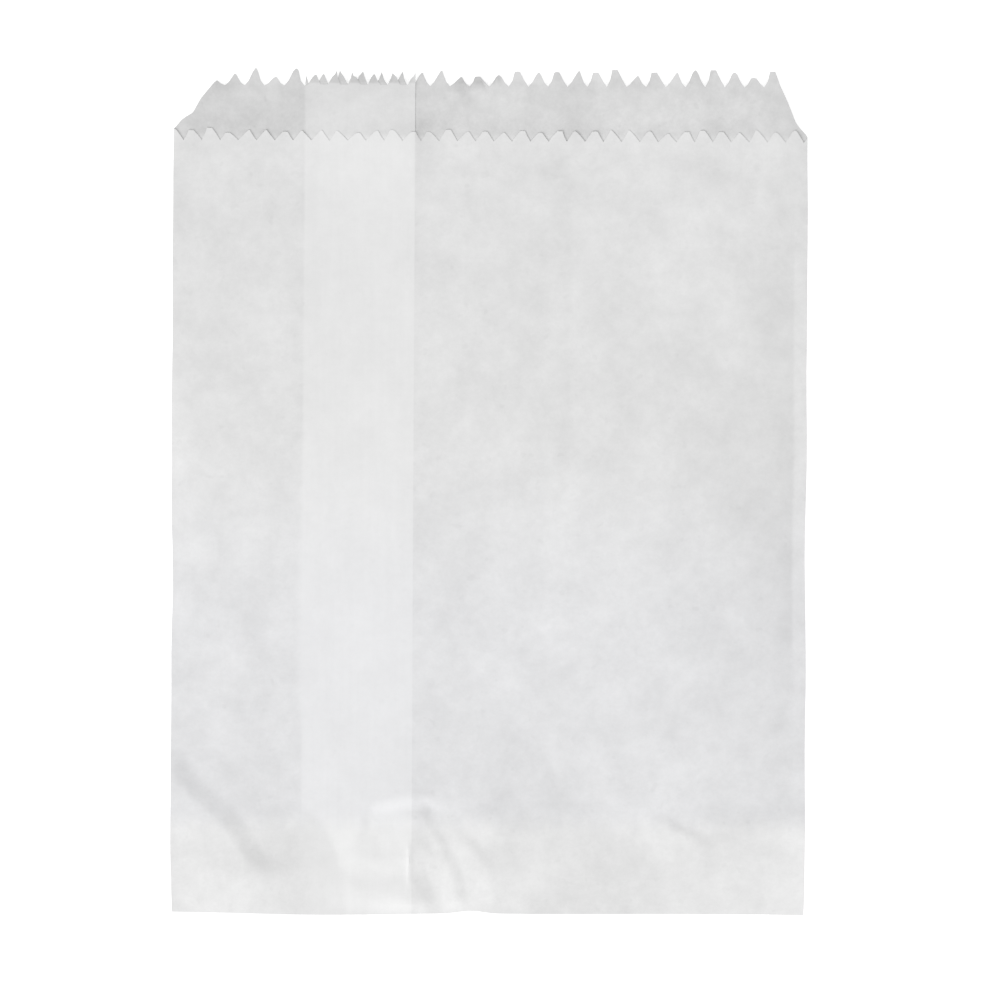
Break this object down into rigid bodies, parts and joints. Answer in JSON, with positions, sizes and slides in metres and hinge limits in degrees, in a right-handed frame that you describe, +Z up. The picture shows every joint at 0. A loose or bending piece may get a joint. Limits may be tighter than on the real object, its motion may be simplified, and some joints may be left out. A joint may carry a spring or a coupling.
{
  "type": "flat paper bag",
  "caption": "Flat white paper food bag, empty, lying on its back with a pinked mouth, a long back lip and a folded bottom flap.",
  "frame": {"origin": "centre of the bag's outline, on the surface that it lies on", "axes": "+X across the bag to the right, +Y from the bottom fold towards the mouth, +Z up from the back panel to the front panel"},
  "size_m": [0.14, 0.186, 0.0063],
  "materials": {
    "paper": "matte"
  },
  "bodies": {
    "root": {"paper_bag": "paper"}
  },
  "joints": []
}
